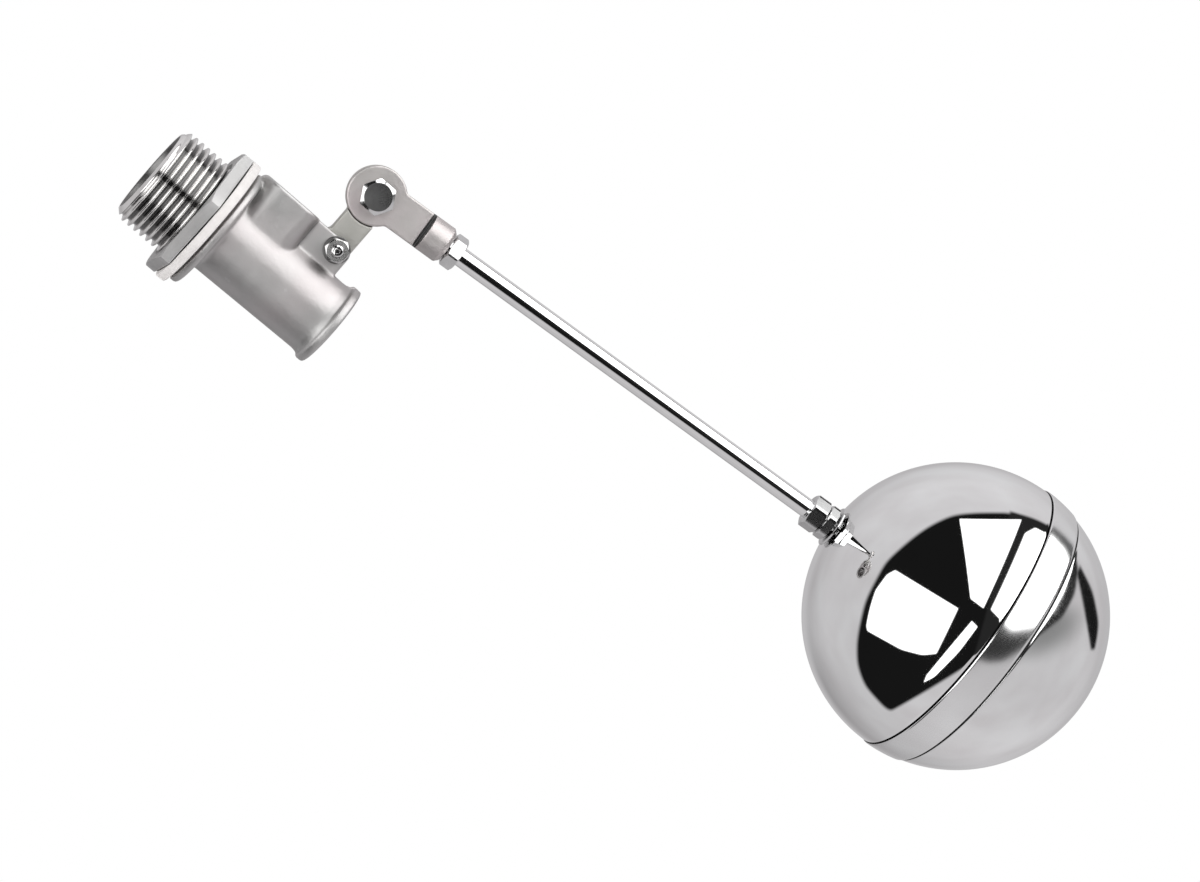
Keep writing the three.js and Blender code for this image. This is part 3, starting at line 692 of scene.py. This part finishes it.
piece("arm_casting", "arm", ["socket_arm"], ARM, [socket_arm()],
      [cast_arm, groove_shade_paint], sharp=None, pick=arm_groove_shade)
rod = Turned("float_rod", ARM)
piece("float_rod_bar", "arm", ["float_rod"], ARM,
      [lathe(bar_profile(SOCKET_START + 1.2, rod.hi, 0, rod.reach, 0.5, 0.5))], [rod_chrome])
BALL_NUT_TURN = math.radians(40)  # a corner faces just above the camera, between a light flat and a dark one
for node, name, turn in (("rod_locknut", "rod_nut", None), ("ball_locknut", "ball_nut", BALL_NUT_TURN),
                         ("ball_hub_nut", "hub_nut", BALL_NUT_TURN)):
    m6 = Turned(node, ARM)
    piece(name, "arm", [node], ARM,
          [hexagon(m6.flats, m6.lo, m6.hi, rod.reach + 0.05, turn or m6.turn)], [nut_steel])
hub_washer = Turned("ball_washer", ARM)
hub_profile = bar_profile(hub_washer.lo, hub_washer.hi, hub_washer.bore, hub_washer.reach, 0.2, 0.25)
piece("ball_washer_disc", "arm", ["ball_washer"], ARM, [lathe(hub_profile)], [nut_steel])
bush = Turned("ball_bush", ARM)
BUSH_END = 1.5
bush_bore = rod.reach + 0.3
bush_profile = [(bush.hi - BUSH_END, 0), (bush.hi - BUSH_END, bush_bore),
                *bar_profile(bush.lo, bush.hi, bush_bore, bush.reach, 0.2, 0.2)[:-1], (bush.hi, 0)]
piece("ball_bush_tube", "arm", ["ball_bush"], ARM, [lathe(bush_profile, 64)], [nut_steel])

# ------------------------------------------------------------------ ball
far = Turned("ball_far_shell", ARM)
BALL_R = Turned("ball_near_shell", ARM).reach
BALL_C = far.hi - BALL_R
WALL, LIP = 0.6, 9.0  # wall of the ball, and the near half's lip inside the far half
SLEEVE, PROUD, SEAM = 10.8, 0.4, 0.2  # raised sleeve round the equator, and the seam before it
inner_r, lip_r, sleeve_r = BALL_R - WALL, BALL_R - WALL - 0.1, BALL_R + PROUD


def meridian(radius, start, end, steps):
    """Profile points on a circle about the ball's centre, between two distances along the axis."""
    a, b = math.asin(max(-1, start / radius)), math.asin(min(1, end / radius))
    return [(BALL_C + radius * math.sin(t), radius * math.cos(t)) for t in np.linspace(a, b, steps + 1)]


def on_circle(radius, along):
    """One point of a meridian."""
    return meridian(radius, along, along, 0)[0]


hole_r = bush.reach + 0.3
near_profile = [
    *meridian(BALL_R, -math.sqrt(BALL_R**2 - hole_r**2), -0.6, 90),
    (BALL_C - 0.36, BALL_R - 0.05), (BALL_C - 0.24, BALL_R - 0.2), (BALL_C - 0.2, BALL_R - 0.5),
    *meridian(lip_r, 0.1, LIP, 10), *meridian(lip_r - WALL, LIP, 0, 10),
    *meridian(inner_r, -0.8, -math.sqrt(inner_r**2 - hole_r**2), 60)]
piece("ball_near_half", "arm", ["ball_near_shell"], ARM, [lathe(near_profile, 240)],
      [ball_mirror, seam_dark], sharp=40,
      pick=lambda centre: int(centre.x > BALL_C - 0.3 and math.hypot(centre.y, centre.z) < BALL_R - 0.02))

far_profile = [
    (BALL_C + BALL_R - WALL, 0), *meridian(inner_r, inner_r, SLEEVE + 0.4, 60)[1:],
    *meridian(BALL_R - 0.35, SLEEVE - 0.8, SEAM, 10),
    (BALL_C + SEAM, BALL_R), (BALL_C + SEAM + 0.06, sleeve_r - 0.22), (BALL_C + SEAM + 0.25, sleeve_r - 0.04),
    *meridian(sleeve_r, 0.7, SLEEVE - 0.75, 24), on_circle(sleeve_r - 0.1, SLEEVE - 0.4),
    on_circle(BALL_R + 0.1, SLEEVE - 0.2), *meridian(BALL_R - 0.3, SLEEVE - 0.05, SLEEVE + 0.12, 1),
    on_circle(BALL_R - 0.05, SLEEVE + 0.45), *meridian(BALL_R, SLEEVE + 0.9, BALL_R, 80)[:-1],
    (BALL_C + BALL_R, 0)]


def far_finish(centre):
    """Dark in both seams, satin on the sleeve between them, polished beyond."""
    along = centre.x - BALL_C
    if along < SEAM + 0.08 or SLEEVE - 0.25 < along < SLEEVE + 0.44:
        return 2
    return int(along > SLEEVE)


piece("ball_far_half", "arm", ["ball_far_shell"], ARM, [lathe(far_profile, 240)],
      [ball_band, ball_cap, seam_dark], sharp=40, pick=far_finish)

# ------------------------------------------------------------------ camera
scene = bpy.context.scene
AZIMUTH, ROLL = math.radians(10.2), math.radians(40.8)
LENS_MM, SENSOR_MM = 133.5, 36.0
CAMERA_AT = Vector((-107.56, -1328.93, 26.65)) * MM
ahead = Vector((math.sin(AZIMUTH), math.cos(AZIMUTH), 0))
level = Vector((math.cos(AZIMUTH), -math.sin(AZIMUTH), 0))
plumb = Vector((0, 0, 1))
image_right = math.cos(ROLL) * level + math.sin(ROLL) * plumb
image_up = math.cos(ROLL) * plumb - math.sin(ROLL) * level
camera = bpy.data.objects.new("camera", bpy.data.cameras.new("camera"))
scene.collection.objects.link(camera)
view = Matrix((image_right, image_up, -ahead)).transposed().to_4x4()
view.translation = CAMERA_AT
camera.matrix_world = view
camera.data.lens, camera.data.sensor_width = LENS_MM, SENSOR_MM
scene.camera = camera

# ------------------------------------------------------------------ studio
# The studio is drawn as a polished ball at the float's place would show it from the photographer's side:
# points are in units of the ball's radius, right and up in the picture. Each softbox and dark card is its
# tone, the softness of its edge and its outline, clockwise.
SOFTBOXES = [
    (2.4, 0.006, [(-0.032, 0.652), (0.37, 0.645), (0.10, 0.09), (0.02, 0.15)]),
    (2.6, 0.008, [(0.39, 0.56), (0.46, 0.592), (0.57, 0.535), (0.655, 0.44), (0.68, 0.34), (0.645, 0.20),
                  (0.56, 0.06), (0.45, -0.03), (0.28, -0.055), (0.15, 0.08)]),
    (2.2, 0.006, [(-0.452, 0.326), (-0.061, 0.087), (-0.199, -0.203), (-0.286, -0.213), (-0.416, -0.181),
                  (-0.626, -0.065), (-0.633, -0.036), (-0.612, 0.08), (-0.575, 0.196), (-0.503, 0.297)]),
    (2.2, 0.004, [(0.026, 0.007), (0.062, -0.029), (-0.055, -0.19), (-0.21, -0.355), (-0.271, -0.389),
                  (-0.257, -0.345), (-0.126, -0.175)]),
]
DARK_CARDS = [
    (0.26, 0.09, [(0.40, 0.05), (0.62, 0.12), (0.76, 0.02), (0.70, -0.12), (0.45, -0.24), (0.30, -0.22)]),
    (0.008, 0.014, [(0.077, 0.695), (0.30, 0.69), (0.45, 0.62), (0.09, -0.22), (-0.467, -0.585),
                    (-0.503, -0.572), (-0.561, -0.514), (-0.633, -0.428), (-0.684, -0.297), (-0.694, -0.167),
                    (-0.677, -0.02), (-0.633, 0.152), (-0.575, 0.268), (-0.517, 0.37), (-0.416, 0.471),
                    (-0.27, 0.585), (-0.155, 0.648), (-0.068, 0.68)]),
    (0.02, 0.012, [(0.30, 0.70), (0.47, 0.65), (0.61, 0.575), (0.715, 0.465), (0.745, 0.34), (0.715, 0.17),
                   (0.61, 0.0), (0.43, -0.12), (0.25, -0.25), (0.12, -0.26), (0.04, -0.22)]),
    (0.01, 0.012, [(0.758, 0.35), (0.845, 0.18), (0.888, -0.02), (0.88, -0.12), (0.86, -0.2), (0.83, -0.2),
                   (0.73, 0.30)]),
]
SWEEP, SWEEP_POLES, SWEEP_UP, SWEEP_RIGHT = 0.59, 0.13, 0.03, 0.02  # tone of the surrounding white sweep
RIM_FROM, RIM_TO, RIM_DROP = 0.86, 1.0, 0.13  # darker towards the ball's outline
CORNER_TOWARDS = (-0.62, -0.78, 0)  # darker low on the left
CORNER_FROM, CORNER_TO, CORNER_DROP = 0.6, 0.95, 0.12
BEHIND, BEHIND_FROM, BEHIND_TO = 0.52, 0.965, 0.999  # even tone behind the ball
MOTTLE_LOW, MOTTLE_HIGH, PINKISH, BLUISH = 0.93, 1.07, (1.0, 0.955, 0.975, 1), (0.975, 0.985, 1.0, 1)

world = bpy.data.worlds.new("studio")
scene.world = world
world.use_nodes = True
g = Graph(world.node_tree)
to_camera = (CAMERA_AT - Vector((ARM @ Vector((BALL_C * MM, 0, 0))))).normalized()
ray = g.add("ShaderNodeTexCoord").outputs["Generated"]
halfway = g.vector("NORMALIZE", g.vector("ADD", ray, to_camera))
right = g.vector("DOT_PRODUCT", halfway, image_right)
up = g.vector("DOT_PRODUCT", halfway, image_up)
spot = g.add("ShaderNodeCombineXYZ", {"X": right, "Y": up, "Z": 1.0}).outputs[0]


def inside(outline, softness):
    """1 inside an outline given clockwise, which should be convex, falling to 0 across its soft edge."""
    least = None
    for (ax, ay), (bx, by) in zip(outline, outline[1:] + outline[:1]):
        length = math.hypot(bx - ax, by - ay)
        nx, ny = (by - ay) / length, -(bx - ax) / length
        edge = g.vector("DOT_PRODUCT", spot, (nx, ny, -(nx * ax + ny * ay)))
        least = edge if least is None else g.math("SMOOTH_MIN", least, edge, 2 * softness)
    return g.ranged(least, -softness, softness, 0.0, 1.0, smooth=True)


bright = g.math("MULTIPLY_ADD", g.math("MULTIPLY", up, up), SWEEP_POLES, SWEEP)
bright = g.math("MULTIPLY_ADD", up, SWEEP_UP, bright)
bright = g.math("MULTIPLY_ADD", right, SWEEP_RIGHT, bright)
squares = g.math("ADD", g.math("MULTIPLY", up, up), g.math("MULTIPLY", right, right))
from_centre = g.math("POWER", squares, 0.5)
bright = g.math("SUBTRACT", bright, g.ranged(from_centre, RIM_FROM, RIM_TO, 0.0, RIM_DROP, smooth=True))
corner = g.vector("DOT_PRODUCT", spot, CORNER_TOWARDS)
bright = g.math("SUBTRACT", bright, g.ranged(corner, CORNER_FROM, CORNER_TO, 0.0, CORNER_DROP, smooth=True))
behind = g.ranged(from_centre, BEHIND_FROM, BEHIND_TO, 0.0, 1.0, smooth=True)
bright = g.math("MULTIPLY_ADD", behind, g.math("SUBTRACT", BEHIND, bright), bright)
cloud = g.noise(ray, 2.2, 2.0, 0.5)
bright = g.math("MULTIPLY", bright, g.ranged(cloud, 0.3, 0.7, MOTTLE_LOW, MOTTLE_HIGH))
light = g.mix(cloud, PINKISH, BLUISH)
light = g.add("ShaderNodeVectorMath", {0: light, 3: bright}, operation="SCALE").outputs["Vector"]
for tone, softness, outline in DARK_CARDS + SOFTBOXES:
    light = g.mix(inside(outline, softness), light, grey(tone))
seen = g.add("ShaderNodeLightPath").outputs["Is Camera Ray"]
light = g.mix(seen, light, grey(1.0))
g.end("ShaderNodeOutputWorld", g.add("ShaderNodeBackground", {"Color": light, "Strength": 1.0}))

# ------------------------------------------------------------------ floor, in metres
FLOOR_AT, FLOOR_R, FLOOR_TONE = (0.12, 0, -0.30), 0.58, (0.86, 0.86, 0.86, 1)
FADE_FROM, FADE_TO = 0.25 * FLOOR_R, 0.95 * FLOOR_R
floor_mesh = bpy.data.meshes.new("floor")
work = bmesh.new()
bmesh.ops.create_circle(work, cap_ends=True, segments=128, radius=FLOOR_R)
work.to_mesh(floor_mesh)
work.free()
floor = bpy.data.objects.new("floor", floor_mesh)
scene.collection.objects.link(floor)
floor.location = FLOOR_AT
floor.visible_glossy = False
floor_paint = bpy.data.materials.new("floor_paint")
floor_paint.use_nodes = True
g = Graph(floor_paint.node_tree)
distance = g.vector("LENGTH", g.add("ShaderNodeTexCoord").outputs["Object"])
faded = g.ranged(distance, FADE_FROM, FADE_TO, 0.0, 1.0, smooth=True)
paint = g.add("ShaderNodeBsdfDiffuse", {"Color": FLOOR_TONE}).outputs[0]
clear = g.add("ShaderNodeBsdfTransparent").outputs[0]
g.end("ShaderNodeOutputMaterial", g.add("ShaderNodeMixShader", {0: faded, 1: paint, 2: clear}))
floor_mesh.materials.append(floor_paint)

scene.view_settings.view_transform = "Standard"
